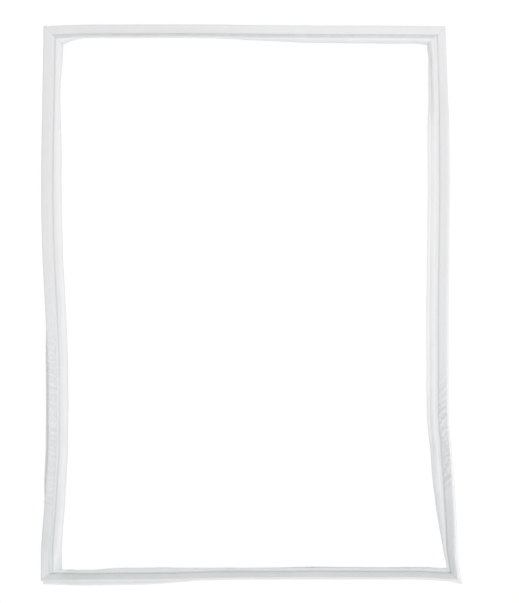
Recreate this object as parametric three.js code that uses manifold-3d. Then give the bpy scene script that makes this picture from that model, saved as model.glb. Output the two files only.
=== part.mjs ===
// A refrigerator door gasket off its door: one soft PVC frame with four welded corners, and a flexible
// magnetic strip in each of its four sides. It lies on its base with the magnet head up. Each side keeps
// the twist, bow and sag that a soft gasket takes when it lies free.
import * as THREE from 'three';
import { mergeVertices } from 'three/addons/utils/BufferGeometryUtils.js';
import Module from 'manifold-3d';

const wasm = await Module();
wasm.setup();

// The frame, measured at the outer edge of the magnet head, in millimetres.
const topWidth = 512;
const bottomWidth = 532;
const frameHeight = 705;
const topLeftInset = 3.2;
const topRightDrop = 0.4;

// The section. Across it u runs outward from the middle of the groove, and w runs up from the base.
const wall = 0.8;
const headWidth = 11;
const headHeight = 4.2;
const headShoulder = 1.3;
const headShoulderCut = 0.4;
const grooveWidth = 3.4;
const grooveFloor = 9;
const baseInner = 4;
const baseOuter = 10.5;
const baseThickness = 1.4;
const bellowsHeight = 5.6;
const bellowsFold = 3.4;
const bellowsFoldShare = 0.46;
const bellowsWall = 1.1;
const finThickness = 0.9;
const finTipThickness = 0.5;
const finRootDrop = 0.2;
const finLength = 12.4;
const finSteps = 8;

// The way the fin heads, in degrees from outward by way of up: at its root, over its crest and at its tip.
const finStart = 118;
const finCrest = 170;
const finEnd = 220;
// The shares of its length by which it is over the crest, and over which it takes its sag and its curl.
const crestShare = 0.22;
const sagShares = [0.05, 0.4];
const curlShares = [0.6, 0.72];

// The barbed dart under the base, which pushes into the door's channel.
const dartPlace = 1.4;
const dartNeck = 2.2;
const dartNeckLength = 1.8;
const dartBarb = 6;
const dartBarbThickness = 0.8;
const dartBarbEdge = 0.48;
const dartDepth = 5.5;
const dartTip = 1.2;

// A shallow relief under the base to both sides of the dart, which leaves a flat seat along each edge.
const reliefReach = 4.4;
const reliefDepth = 0.4;

// The magnetic strips, loose in their pockets.
const magnetClearance = 0.3;
const magnetStop = 17;

// Air holes through the base and the pocket floor, at two shares of the left side's length.
const ventRadius = 0.8;
const ventPlace = 4.6;
const ventShares = [0.2, 0.4];
const ventEdges = 6;

// How far from a corner a side takes up its own section, and how far apart its steps are.
const cornerReach = 48;
const cornerSteps = 4;
const sideStep = 58;

// What a tucked side does: its bellows closes and its base slides in under the head.
const tuckSlide = 8.5;
const tuckClose = 0.5;

// Each side runs from one corner to the next. The first number of a pair is a share of its length.
// bow is outward in millimetres; roll leans the head inward in degrees; sag turns the fin down in degrees,
// and curl bends its edge; tuck slides the base in under the head, or outward where it is below zero.
const sides = {
  bottom: {
    bow: [[0, -0.4], [0.08, -1], [0.3, -1.8], [0.5, -4.2], [0.9, -4.2], [0.97, -1.4], [1, -0.6]],
    roll: [[0, 50], [0.08, 57], [0.9, 57], [1, 46]],
    sag: [[0, 36], [0.06, 14], [0.3, -2], [0.5, 30], [0.9, 30], [1, 30]],
    curl: [[0, 0], [1, 0]],
    tuck: [[0, 0], [0.2, 0], [0.45, 0.8], [0.6, 1], [0.92, 1], [0.985, 0.1], [1, 0]],
  },
  right: {
    bow: [
      [0, -2], [0.05, -5], [0.1, -4.8], [0.14, -5.4], [0.23, -8], [0.3, -10.1],
      [0.38, -8.8], [0.49, -7.1], [0.66, -2.7], [0.77, -0.8], [0.9, 0.6], [1, 0],
    ],
    roll: [[0, 44], [0.1, 34], [0.2, 22], [0.3, 16], [0.82, 14], [0.93, 4], [1, 0]],
    sag: [[0, 60], [0.04, 56], [0.1, 18], [0.15, 0], [0.24, 22], [0.4, 8], [0.78, 0], [0.87, 40], [0.95, 66], [1, 45]],
    curl: [[0, 0], [0.12, 0], [0.3, -60], [0.94, -60], [1, -20]],
    tuck: [[0, 0], [0.1, -0.05], [0.2, -0.3], [0.78, -0.35], [0.9, -0.1], [0.95, 0], [1, 0]],
  },
  top: {
    bow: [[0, 0], [0.6, 0.4], [1, 0]],
    roll: [[0, 5], [0.1, 12], [0.45, 16], [0.6, 30], [0.88, 30], [0.96, 14], [1, 5]],
    sag: [[0, 45], [0.1, 36], [0.4, 46], [0.52, 70], [0.62, 96], [0.84, 96], [0.95, 60], [1, 40]],
    curl: [[0, -20], [0.05, 0], [0.5, 0], [0.62, -60], [0.84, -60], [0.95, 0], [1, 0]],
    tuck: [[0, 0], [0.45, 0], [0.62, 0.3], [0.88, 0.3], [0.96, 0], [1, 0]],
  },
  left: {
    bow: [
      [0, 0], [0.28, 2], [0.41, 0], [0.52, -4.4], [0.62, -8],
      [0.75, -8.6], [0.86, -4.4], [0.96, 0], [1, 0],
    ],
    roll: [[0, 0], [0.46, 0], [0.6, 16], [0.8, 17], [0.92, 2], [1, 0]],
    sag: [[0, 20], [0.06, 26], [0.14, 44], [0.24, 8], [0.45, -10], [0.62, -14], [0.82, -12], [0.92, -8], [1, 0]],
    curl: [[0, 0], [1, 0]],
    tuck: [[0, 0], [0.46, 0], [0.6, -0.35], [0.8, -0.38], [0.91, 0], [1, 0]],
  },
};

const sealMaterial = new THREE.MeshStandardMaterial({ color: 0xe9eced, roughness: 0.42, metalness: 0 });
const magnetMaterial = new THREE.MeshStandardMaterial({ color: 0x3a3634, roughness: 0.8, metalness: 0 });

const smooth = (x, from, to) => THREE.MathUtils.smoothstep(x, from, to);

// The value of a track at a share of the side's length, on a smooth curve through the track's pairs.
function follow(track, share) {
  let i = 0;
  while (i < track.length - 2 && share > track[i + 1][0]) i += 1;
  const slope = (j) => {
    const before = track[Math.max(j - 1, 0)];
    const after = track[Math.min(j + 1, track.length - 1)];
    const here = track[j][1];
    if ((here - before[1]) * (after[1] - here) <= 0) return 0;
    return (after[1] - before[1]) / (after[0] - before[0]);
  };
  const span = track[i + 1][0] - track[i][0];
  const t = (share - track[i][0]) / span;
  const rise = track[i + 1][1] - track[i][1];
  const ease = t * t * (3 - 2 * t);
  const lead = t * (1 - t) * (1 - t) * slope(i) * span;
  const trail = t * t * (t - 1) * slope(i + 1) * span;
  return track[i][1] + ease * rise + lead + trail;
}

// Heights and edges of the section that follow from the sizes above.
const headInner = grooveWidth / 2;
const headOuter = headInner + headWidth;
const headBottom = baseThickness + bellowsHeight;
const headTop = headBottom + headHeight;
const finRoot = -grooveWidth / 2;
const webUnderside = grooveFloor - wall;
const foldHeight = baseThickness + bellowsHeight * bellowsFoldShare;

// The fin's middle line: up from the groove, over a crest and down to its tip.
function finLine({ sag, curl }) {
  const step = finLength / finSteps;
  const points = [];
  let u = finRoot - finThickness / 2;
  let w = grooveFloor - wall / 2;
  for (let i = 0; i <= finSteps; i += 1) {
    const share = i / finSteps;
    const bend = (finCrest - finStart) * smooth(share, 0, crestShare)
      + (finEnd - finCrest) * smooth(share, crestShare, 1)
      + sag * smooth(share, ...sagShares) + curl * smooth(share, ...curlShares);
    const heading = THREE.MathUtils.degToRad(finStart + bend);
    const thickness = THREE.MathUtils.lerp(finThickness, finTipThickness, share);
    points.push({ u, w, heading, half: thickness / 2 });
    u += Math.cos(heading) * step;
    w += Math.sin(heading) * step;
  }
  return points;
}

function sealOutline(shape) {
  const line = finLine(shape);
  const side = ({ u, w, heading, half }, sign) => [
    u + Math.sin(heading) * half * sign,
    w - Math.cos(heading) * half * sign,
  ];
  const finTop = line.slice(1).map((point) => side(point, 1));
  const finUnder = line.slice(1).map((point) => side(point, -1)).reverse();
  const barbTop = -dartNeckLength;
  return [
    [dartPlace - dartNeck / 2, reliefDepth],
    [dartPlace - dartNeck / 2, barbTop],
    [dartPlace - dartBarb / 2, barbTop + dartBarbEdge - dartBarbThickness],
    [dartPlace - dartBarb / 2, barbTop - dartBarbThickness],
    [dartPlace - dartTip / 2, -dartDepth],
    [dartPlace + dartTip / 2, -dartDepth],
    [dartPlace + dartBarb / 2, barbTop - dartBarbThickness],
    [dartPlace + dartBarb / 2, barbTop + dartBarbEdge - dartBarbThickness],
    [dartPlace + dartNeck / 2, barbTop],
    [dartPlace + dartNeck / 2, reliefDepth],
    [dartPlace + reliefReach, reliefDepth],
    [dartPlace + reliefReach, 0],
    [baseOuter, 0],
    [baseOuter, baseThickness],
    [baseOuter - bellowsFold, foldHeight],
    [headOuter - headShoulder, headBottom],
    [headOuter, headBottom + headShoulder],
    [headOuter, headTop - headShoulder],
    [headOuter - headShoulderCut, headTop - headShoulderCut],
    [headOuter - headShoulder, headTop],
    [headInner + headShoulder, headTop],
    [headInner + headShoulderCut, headTop - headShoulderCut],
    [headInner, headTop - headShoulder],
    [headInner, grooveFloor],
    [finRoot, grooveFloor],
    ...finTop,
    ...finUnder,
    [finRoot - finThickness, webUnderside - finRootDrop],
    [finRoot - finThickness, foldHeight],
    [-baseInner, baseThickness],
    [-baseInner, 0],
    [dartPlace - reliefReach, 0],
    [dartPlace - reliefReach, reliefDepth],
  ];
}

function pocketOutline(clearance) {
  const inner = headInner + wall + clearance;
  const outer = headOuter - wall - clearance;
  const low = headBottom + wall + clearance;
  const high = headTop - wall - clearance;
  return [[inner, low], [outer, low], [outer, high], [inner, high]];
}

function chamberOutline() {
  const innerWall = finRoot - finThickness + bellowsWall;
  return [
    [bellowsWall - baseInner, baseThickness],
    [baseOuter - bellowsWall - wall / 2, baseThickness],
    [baseOuter - bellowsFold - bellowsWall, foldHeight],
    [headOuter - headShoulder - bellowsWall - wall, headBottom],
    [headInner + wall / 2, headBottom],
    [headInner - wall / 2, webUnderside],
    [innerWall, webUnderside],
    [innerWall, foldHeight],
  ];
}

// Where a point of the section goes when the bellows tucks and the whole section rolls.
function pose([u, w], roll, tuck) {
  const below = Math.max(headBottom - w, 0);
  const slide = tuck * tuckSlide * Math.min(below / headBottom, 1);
  const lift = Math.abs(tuck) * tuckClose * Math.min(below, headBottom);
  const angle = THREE.MathUtils.degToRad(roll);
  const across = u - slide;
  const up = w + lift;
  return [
    across * Math.cos(angle) - up * Math.sin(angle),
    across * Math.sin(angle) + up * Math.cos(angle),
  ];
}

// The corners in the order in which the sides run, seen from above and counter-clockwise.
const corners = {
  bottomLeft: new THREE.Vector2(-bottomWidth / 2, -frameHeight / 2),
  bottomRight: new THREE.Vector2(bottomWidth / 2, -frameHeight / 2),
  topRight: new THREE.Vector2(topLeftInset + topWidth - bottomWidth / 2, frameHeight / 2 - topRightDrop),
  topLeft: new THREE.Vector2(topLeftInset - bottomWidth / 2, frameHeight / 2),
};
const cornerOrder = ['bottomLeft', 'bottomRight', 'topRight', 'topLeft'];
const sideOrder = ['bottom', 'right', 'top', 'left'];

const runs = sideOrder.map((name, i) => {
  const start = corners[cornerOrder[i]];
  const end = corners[cornerOrder[(i + 1) % 4]];
  const length = start.distanceTo(end);
  const along = end.clone().sub(start).divideScalar(length);
  return { name, start, along, length, outward: new THREE.Vector2(along.y, -along.x), tracks: sides[name] };
});

// One side's section at a share of its length: offsets outward from the head's edge, and heights.
function sectionAt(run, share, outline) {
  const { roll, tuck, sag, curl } = run.tracks;
  const turned = follow(roll, share);
  const tucked = follow(tuck, share);
  const shape = { sag: follow(sag, share), curl: follow(curl, share) };
  const [headEdge] = pose([headOuter, headTop], turned, tucked);
  const outside = sealOutline(shape).map((point) => pose(point, turned, tucked)[1]);
  const points = outline(shape).map((point) => pose(point, turned, tucked));
  return {
    offsets: points.map(([offset]) => offset - headEdge),
    heights: points.map(([, height]) => height),
    outside,
  };
}

// At a corner two sides share one ring of points: each keeps its own offset from both sides' edges.
function cornerRing(before, after, outline) {
  const one = sectionAt(before, 1, outline);
  const two = sectionAt(after, 0, outline);
  const cross = before.outward.x * after.outward.y - before.outward.y * after.outward.x;
  const places = one.offsets.map((offset, k) => {
    const other = two.offsets[k];
    return new THREE.Vector2(
      (offset * after.outward.y - other * before.outward.y) / cross,
      (other * before.outward.x - offset * after.outward.x) / cross,
    );
  });
  const mean = (a, b) => a.map((value, k) => (value + b[k]) / 2);
  return { places, heights: mean(one.heights, two.heights), outside: mean(one.outside, two.outside) };
}

// The distances from a side's start at which it has a ring, with those of its magnet's ends among them.
function stations(run) {
  const near = [0];
  for (let i = 1; i <= cornerSteps; i += 1) near.push((cornerReach * i) / cornerSteps);
  near.push(magnetStop);
  near.sort((a, b) => a - b);
  const middle = [];
  const count = Math.ceil((run.length - 2 * cornerReach) / sideStep);
  for (let i = 1; i < count; i += 1) {
    middle.push(cornerReach + ((run.length - 2 * cornerReach) * i) / count);
  }
  return [...near, ...middle, ...near.map((distance) => run.length - distance).reverse()];
}

// One ring of points of a side, at a distance from its start.
function ringAt(index, distance, outline) {
  const run = runs[index];
  const share = distance / run.length;
  const section = sectionAt(run, share, outline);
  const atStart = distance < run.length / 2;
  const fromCorner = atStart ? distance : run.length - distance;
  const blend = Math.max(1 - fromCorner / cornerReach, 0);
  const neighbour = atStart ? runs[(index + 3) % 4] : runs[(index + 1) % 4];
  const corner = atStart ? cornerRing(neighbour, run, outline) : cornerRing(run, neighbour, outline);
  const end = sectionAt(run, atStart ? 0 : 1, outline);
  const height = (k, mine, shared, own) => mine[k] + blend * (shared[k] - own[k]);
  const floor = Math.min(
    ...section.outside.map((_, k) => height(k, section.outside, corner.outside, end.outside)),
  );
  const edge = run.start.clone().addScaledVector(run.along, distance);
  edge.addScaledVector(run.outward, follow(run.tracks.bow, share));
  return section.offsets.map((offset, k) => {
    const shift = corner.places[k].dot(run.along) * blend;
    return new THREE.Vector3(
      edge.x + run.outward.x * offset + run.along.x * shift,
      edge.y + run.outward.y * offset + run.along.y * shift,
      height(k, section.heights, corner.heights, end.heights) - floor,
    );
  });
}

// Rings joined into a closed surface: a loop that meets itself, or a run with flat ends.
function skin(rings, isLoop) {
  const size = rings[0].length;
  const positions = rings.flat().flatMap((point) => [point.x, point.y, point.z]);
  const index = [];
  const spans = isLoop ? rings.length : rings.length - 1;
  for (let i = 0; i < spans; i += 1) {
    const next = (i + 1) % rings.length;
    for (let k = 0; k < size; k += 1) {
      const a = i * size + k;
      const b = i * size + ((k + 1) % size);
      const c = next * size + ((k + 1) % size);
      const d = next * size + k;
      index.push(a, c, b, a, d, c);
    }
  }
  if (!isLoop) {
    const last = (rings.length - 1) * size;
    for (let k = 1; k < size - 1; k += 1) {
      index.push(0, k, k + 1);
      index.push(last, last + k + 1, last + k);
    }
  }
  const geometry = new THREE.BufferGeometry();
  geometry.setAttribute('position', new THREE.Float32BufferAttribute(positions, 3));
  geometry.setIndex(index);
  return geometry;
}

function loopOf(outline) {
  const rings = runs.flatMap((run, i) => stations(run).slice(0, -1).map((at) => ringAt(i, at, outline)));
  return skin(rings, true);
}

function solidOf(geometry) {
  const bare = geometry.clone();
  bare.deleteAttribute('normal');
  bare.deleteAttribute('uv');
  const merged = mergeVertices(bare);
  const vertProperties = new Float32Array(merged.attributes.position.array);
  return new wasm.Manifold(
    new wasm.Mesh({ numProp: 3, vertProperties, triVerts: new Uint32Array(merged.index.array) }),
  );
}

function geometryOf(solid) {
  const { vertProperties, triVerts } = solid.getMesh();
  const geometry = new THREE.BufferGeometry();
  geometry.setAttribute('position', new THREE.BufferAttribute(vertProperties, 3));
  geometry.setIndex(new THREE.BufferAttribute(triVerts, 1));
  geometry.computeVertexNormals();
  return geometry;
}

// A hole from under the base up to just short of the magnet, through the chamber and the pocket's floor.
function ventTool(index, share) {
  const run = runs[index];
  const reach = dartNeckLength / 2;
  const [place] = ringAt(index, run.length * share, () => [[ventPlace, -reach]]);
  const height = reach + headBottom + wall + magnetClearance / 2;
  const tool = new THREE.CylinderGeometry(ventRadius, ventRadius, height, ventEdges);
  tool.rotateX(Math.PI / 2);
  tool.translate(place.x, place.y, place.z + height / 2);
  return solidOf(tool);
}

function makeSeal() {
  let seal = solidOf(loopOf(sealOutline));
  seal = seal.subtract(solidOf(loopOf(() => pocketOutline(0))));
  seal = seal.subtract(solidOf(loopOf(chamberOutline)));
  for (const share of ventShares) {
    seal = seal.subtract(ventTool(sideOrder.indexOf('left'), share));
  }
  const mesh = new THREE.Mesh(geometryOf(seal), sealMaterial);
  mesh.name = 'seal_body';
  return mesh;
}

function makeMagnet(index) {
  const run = runs[index];
  const places = stations(run).filter((at) => at >= magnetStop && at <= run.length - magnetStop);
  const rings = places.map((at) => ringAt(index, at, () => pocketOutline(magnetClearance)));
  const mesh = new THREE.Mesh(skin(rings, false), magnetMaterial);
  mesh.geometry.computeVertexNormals();
  mesh.name = `magnet_strip_${run.name}`;
  return mesh;
}

// The whole gasket, centred over the origin with its lowest points at height zero.
const gasket = new THREE.Group();
gasket.add(makeSeal());
for (let i = 0; i < 4; i += 1) gasket.add(makeMagnet(i));
const bounds = new THREE.Box3().setFromObject(gasket);
const middle = bounds.getCenter(new THREE.Vector3());
gasket.position.set(-middle.x, -middle.y, -bounds.min.z);

export default gasket;
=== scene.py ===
"""A refrigerator door gasket of soft white PVC, lying free on a pale floor and seen from straight above."""

import math

import bmesh
import bpy
import numpy as np
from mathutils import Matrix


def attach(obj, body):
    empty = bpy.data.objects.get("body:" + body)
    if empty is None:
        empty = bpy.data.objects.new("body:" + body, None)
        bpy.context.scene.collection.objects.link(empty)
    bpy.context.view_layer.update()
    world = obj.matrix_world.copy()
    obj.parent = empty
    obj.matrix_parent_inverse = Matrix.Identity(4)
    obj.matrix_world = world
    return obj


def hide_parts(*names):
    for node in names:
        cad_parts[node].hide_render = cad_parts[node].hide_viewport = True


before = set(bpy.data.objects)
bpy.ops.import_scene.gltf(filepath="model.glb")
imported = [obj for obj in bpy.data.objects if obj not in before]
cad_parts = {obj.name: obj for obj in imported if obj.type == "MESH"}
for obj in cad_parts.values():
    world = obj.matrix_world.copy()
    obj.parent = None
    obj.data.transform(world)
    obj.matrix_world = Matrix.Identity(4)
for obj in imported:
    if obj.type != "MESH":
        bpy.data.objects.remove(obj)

bl_info = {
    "name": "Refrigerator Door Gasket",
    "version": (1, 0, 0),
    "blender": (4, 5, 0),
    "location": "View3D > Sidebar > Gasket",
    "description": "Adds a magnetic door gasket with its bellows, fin, dart and magnetic strips",
    "category": "Add Mesh",
}

MM = 0.001
# Leeway for rounding, and the least length that something is divided by.
LEEWAY = 1e-6
LEAST = 1e-12

SIDE_ORDER = ("bottom", "right", "top", "left")
CORNER_ORDER = ("bottom_left", "bottom_right", "top_right", "top_left")

# Each side runs from one corner to the next. The first number of a pair is a share of its length.
# bow is outward in millimetres; roll leans the head inward in degrees; sag turns the fin down in degrees,
# and curl bends its edge; tuck slides the base in under the head, or outward where it is below zero.
SIDES = {
    "bottom": {
        "bow": ((0, -0.4), (0.08, -1), (0.3, -1.8), (0.5, -4.2), (0.9, -4.2), (0.97, -1.4), (1, -0.6)),
        "roll": ((0, 50), (0.08, 57), (0.9, 57), (1, 46)),
        "sag": ((0, 36), (0.06, 14), (0.3, -2), (0.5, 30), (0.9, 30), (1, 30)),
        "curl": ((0, 0), (1, 0)),
        "tuck": ((0, 0), (0.2, 0), (0.45, 0.8), (0.6, 1), (0.92, 1), (0.985, 0.1), (1, 0)),
    },
    "right": {
        "bow": (
            (0, -2), (0.05, -5), (0.1, -4.8), (0.14, -5.4), (0.23, -8), (0.3, -10.1),
            (0.38, -8.8), (0.49, -7.1), (0.66, -2.7), (0.77, -0.8), (0.9, 0.6), (1, 0),
        ),
        "roll": ((0, 44), (0.1, 34), (0.2, 22), (0.3, 16), (0.82, 14), (0.93, 4), (1, 0)),
        "sag": (
            (0, 60), (0.04, 56), (0.1, 18), (0.15, 0), (0.24, 22),
            (0.4, 8), (0.78, 0), (0.87, 40), (0.95, 66), (1, 45),
        ),
        "curl": ((0, 0), (0.12, 0), (0.3, -60), (0.94, -60), (1, -20)),
        "tuck": ((0, 0), (0.1, -0.05), (0.2, -0.3), (0.78, -0.35), (0.9, -0.1), (0.95, 0), (1, 0)),
    },
    "top": {
        "bow": ((0, 0), (0.6, 0.4), (1, 0)),
        "roll": ((0, 5), (0.1, 12), (0.45, 16), (0.6, 30), (0.88, 30), (0.96, 14), (1, 5)),
        "sag": ((0, 45), (0.1, 36), (0.4, 46), (0.52, 70), (0.62, 96), (0.84, 96), (0.95, 60), (1, 40)),
        "curl": ((0, -20), (0.05, 0), (0.5, 0), (0.62, -60), (0.84, -60), (0.95, 0), (1, 0)),
        "tuck": ((0, 0), (0.45, 0), (0.62, 0.3), (0.88, 0.3), (0.96, 0), (1, 0)),
    },
    "left": {
        "bow": (
            (0, 0), (0.28, 2), (0.41, 0), (0.52, -4.4), (0.62, -8),
            (0.75, -8.6), (0.86, -4.4), (0.96, 0), (1, 0),
        ),
        "roll": ((0, 0), (0.46, 0), (0.6, 16), (0.8, 17), (0.92, 2), (1, 0)),
        "sag": (
            (0, 20), (0.06, 26), (0.14, 44), (0.24, 8), (0.45, -10),
            (0.62, -14), (0.82, -12), (0.92, -8), (1, 0),
        ),
        "curl": ((0, 0), (1, 0)),
        "tuck": ((0, 0), (0.46, 0), (0.6, -0.35), (0.8, -0.38), (0.91, 0), (1, 0)),
    },
}

# Puckers across the head: the shares of the side's length between which they run, and between which they
# are full, their pitch and height in millimetres, and their slant.
PUCKERS = (
    {"side": "left", "span": (0.5, 0.9), "peak": (0.62, 0.84), "pitch": 9.0, "height": 0.42, "slant": 0.2},
    {"side": "left", "span": (0.52, 0.84), "peak": (0.6, 0.7), "pitch": 5.7, "height": 0.18, "slant": -0.9},
    {"side": "right", "span": (0.14, 0.4), "peak": (0.19, 0.33), "pitch": 9.6, "height": 0.55, "slant": -0.8},
    {"side": "right", "span": (0.16, 0.34), "peak": (0.2, 0.3), "pitch": 12.4, "height": 0.3, "slant": 0.9},
)
# How far their middle stands over the smooth face, and how high a finer wave on them is, as shares of
# the height. At the head's foot they have the low share of it.
PUCKER_RISE = 0.5
PUCKER_FINE = 0.3
PUCKER_LOW = 0.35
# How they vary along a side: in height, as a mean and a swing, and in place, as a share of the pitch.
PUCKER_MEAN = 0.85
PUCKER_SWING = 0.3
PUCKER_DRIFT = 0.8
# Painted shade in their hollows: how much darker they are made for each millimetre of depth.
PUCKER_SHADE = 1.1

# Wavelengths of the puckers' swing and drift, in millimetres.
SWING_WAVES = (41, 77)
DRIFT_WAVES = (55, 113)

# Slow changes of sag and roll along a side: their wavelengths in millimetres and their reach in degrees.
SAG_WAVES = (63, 97, 171)
ROLL_WAVES = (119, 203)
SAG_REACH = 5
ROLL_REACH = 1.5
# They are nothing at the first distance from a corner, in millimetres, and whole at the second.
WAVE_EASE = (20, 60)

# Low waves of the soft skin, in millimetres: their lengths, each divided by 2 pi, and their height in each
# region.
SKIN_WAVES = (5.3, 8.9, 17.0)
SKIN_HEIGHTS = {
    "fin": 0.16, "under": 0.1, "head": 0.07, "groove": 0.04, "bellows": 0.1, "base": 0.0, "dart": 0.0,
}

# How far apart the rings of points are, and how far from a corner its extra rings are, in millimetres.
STEP_CORNER = 3.2
STEP_PUCKER = 1.6
STEP_PLAIN = 6.4
WELD_STEPS = (0.35, 0.8, 1.5)
# Half the width of a weld bead, in millimetres.
WELD_WIDTH = 0.7
# How many steps the fin has from root to tip.
FIN_STEPS = 17

# The way the fin heads, in degrees from outward by way of up: at its root, past its crest and at its tip.
FIN_START = 118
FIN_CREST = 170
FIN_END = 220
# The shares of its length by which it is over the crest, takes its sag and takes its curl.
CREST_SHARE = 0.22
SAG_SHARES = (0.05, 0.4)
CURL_SHARES = (0.6, 0.72)
# How far its round tip reaches, in half thicknesses, and the width and reach of the tip's shoulders.
TIP_REACH = 0.9
TIP_WIDTH = 0.6
TIP_SHOULDER = 0.75

# The share of its height at which the bellows folds, and of its length at which the dart's neck widens.
FOLD_SHARE = 0.46
NECK_SHARE = 0.8

# How far the rounding of each edge reaches, in millimetres.
BASE_EDGE = 0.4
INNER_BASE_EDGE = 0.35
FOLD_EDGE = 0.7
INNER_FOLD_EDGE = 0.5
BARB_EDGES = (0.2, 0.3)
MAGNET_EDGE = 0.25

# Painted shade: how far each region is darkened towards the shade colour, most in the groove, round the dart
# and under the fin, slightly on the head and base.
PAINTED_SHADE = {"groove": 1.0, "bellows": 0.0, "under": 0.2, "dart": 0.25, "base": 0.1, "fin": 0.0, "head": 0.1}

# Painted light: how much of the head's greying the other regions have. The bellows has none and the thin fin
# little, so they read lighter, the fin as if light came through it.
UNLIT_SHARE = {"bellows": 0.0, "fin": 0.35}

# How many of the head's points are on its outer side, which takes none of the greying: painted light on that
# side wall.
SIDE_POINTS = 8

# Painted shade: how dark the fin's edge is made, over how many points, and how much of the groove's painted
# shade each side's groove gets.
FIN_EDGE_SHADE = 0.6
FIN_EDGE_POINTS = 7
GROOVE_SHADE = {"bottom": 0.2, "right": 0.0, "top": 0.5, "left": 0.05}

# Air holes, at shares of the left side's length, and their first points in the chamber and the pocket.
VENT_SHARES = (0.2, 0.4)
CHAMBER_FLOOR_VENT = 1
CHAMBER_ROOF_VENT = 9
POCKET_VENT = 1

# The stage, in metres: the floor, and each lamp's place and size.
FLOOR_REACH = 20.0
FLOOR_DROP = -0.2 * MM
KEY_PLACE = (0.7, -1.0, 2.1)
KEY_SIZE = 1.2
FILL_PLACE = (0.6, 1.4, 1.5)
FILL_SIZE = 0.9
WHITE = (1.0, 1.0, 1.0, 1.0)
# The floor's own matt colour, and the strength at which the camera sees it white.
FLOOR_MATT = (0.93, 0.93, 0.93, 1.0)
FLOOR_WHITE = 1.02
# The camera's sensor, in millimetres, and how far it sees, in metres.
SENSOR = 36.0
CLIP_END = 20.0

# The PVC is darker towards the bottom, turning greyer from the first of these places to the second, in metres
# up the frame from its middle.
GREYING = (0.1, -0.42)
# How much smoother and how much rougher than its plain finish the PVC is in places.
GLOSS_SPREAD = (0.07, 0.1)
# How strongly the weld's colour shows, how deep the grain is, and how much paler dust makes the strips.
WELD_TINT = 0.6
GRAIN_DEPTH = 0.2 * MM
DUST_LIFT = 2.6

# The angle in degrees above which an edge is sharp.
SHARP_ANGLE = 50


def millimetres(name, description, default, soft_max=None):
    """A length property whose default is given in millimetres."""
    top = soft_max if soft_max else default * 3
    return bpy.props.FloatProperty(
        name=name,
        description=description,
        default=default * MM,
        min=0.0,
        soft_max=top * MM,
        unit="LENGTH",
        precision=5,
    )


def amount(name, description, default, high=None):
    """A plain number property, with a slider where it has a highest value."""
    limits = {"max": high, "subtype": "FACTOR"} if high else {}
    return bpy.props.FloatProperty(name=name, description=description, default=default, min=0.0, **limits)


def paint(name, description, default):
    """A colour property."""
    return bpy.props.FloatVectorProperty(
        name=name,
        description=description,
        default=default,
        min=0.0,
        max=1.0,
        size=4,
        subtype="COLOR",
    )


class GasketFrameSizes(bpy.types.PropertyGroup):
    """The frame, measured at the outer edge of the magnet head."""

    top_width: millimetres("Top width", "Corner to corner along the top", 512)
    bottom_width: millimetres("Bottom width", "Corner to corner along the bottom", 532)
    height: millimetres("Height", "Corner to corner up the sides", 705)
    top_left_inset: millimetres("Top left inset", "How far the top left corner sits inwards", 3.2)
    top_right_drop: millimetres("Top right drop", "How far the top right corner sits lower", 0.4)
    corner_reach: millimetres("Corner reach", "Length in which a side takes up its own section", 48)
    tuck_slide: millimetres("Tuck slide", "How far a tucked base slides in under the head", 8.5)
    tuck_close: amount("Tuck close", "Share of its height by which a tucked bellows closes", 0.5, 0.8)


class GasketSectionSizes(bpy.types.PropertyGroup):
    """The section of the extrusion."""

    wall: millimetres("Wall", "Thickness of the head's walls", 0.8)
    head_width: millimetres("Head width", "Width of the magnet head", 11)
    head_height: millimetres("Head height", "Height of the magnet head", 4.2)
    head_shoulder: millimetres("Head shoulder", "Radius of the head's edges", 1.3)
    head_crown: millimetres("Head crown", "Rise of the head's face in its middle", 0.15)
    groove_width: millimetres("Groove width", "Width of the groove beside the head", 3.4)
    groove_floor: millimetres("Groove floor", "Height of the groove's floor over the base", 9)
    groove_fillet: millimetres("Groove fillet", "Radius in the groove's corners", 0.6)
    base_inner: millimetres("Base inner", "Reach of the base towards the inside", 4)
    base_outer: millimetres("Base outer", "Reach of the base towards the outside", 10.5)
    base_thickness: millimetres("Base thickness", "Thickness of the base", 1.4)
    bellows_height: millimetres("Bellows height", "Height of the bellows", 5.6)
    bellows_fold: millimetres("Bellows fold", "Depth of the fold in the bellows", 3.4)
    bellows_wall: millimetres("Bellows wall", "Thickness of the bellows", 1.1)
    fin_thickness: millimetres("Fin thickness", "Thickness of the fin at its root", 0.9)
    fin_tip: millimetres("Fin tip", "Thickness of the fin at its tip", 0.5)
    fin_length: millimetres("Fin length", "Length of the fin along its middle line", 12.4)
    dart_place: millimetres("Dart place", "Distance of the dart from the groove's middle", 1.4)
    dart_neck: millimetres("Dart neck", "Thickness of the dart's neck", 2.2)
    dart_neck_length: millimetres("Dart neck length", "Length of the dart's neck", 1.8)
    dart_barb: millimetres("Dart barb", "Width across the dart's barbs", 6)
    dart_barb_thickness: millimetres("Barb thickness", "Thickness of the barbs", 0.8)
    dart_barb_edge: millimetres("Barb edge", "Height of the barbs' outer edges", 0.48)
    dart_depth: millimetres("Dart depth", "Depth of the dart under the base", 5.5)
    dart_tip: millimetres("Dart tip", "Width of the dart's tip", 1.2)
    relief_reach: millimetres("Relief reach", "Half the width of the relief beside the dart", 4.4)
    relief_depth: millimetres("Relief depth", "Depth of the relief beside the dart", 0.4)
    magnet_clearance: millimetres("Magnet clearance", "Gap around the magnetic strips", 0.3)
    magnet_stop: millimetres("Magnet stop", "Distance of a strip's end from the corner", 17)
    vent_radius: millimetres("Vent radius", "Radius of the air holes", 0.8)
    vent_place: millimetres("Vent place", "Distance of the air holes from the groove's middle", 4.6)
    weld_height: millimetres("Weld height", "Height of the bead along a welded mitre", 0.22)


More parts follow.
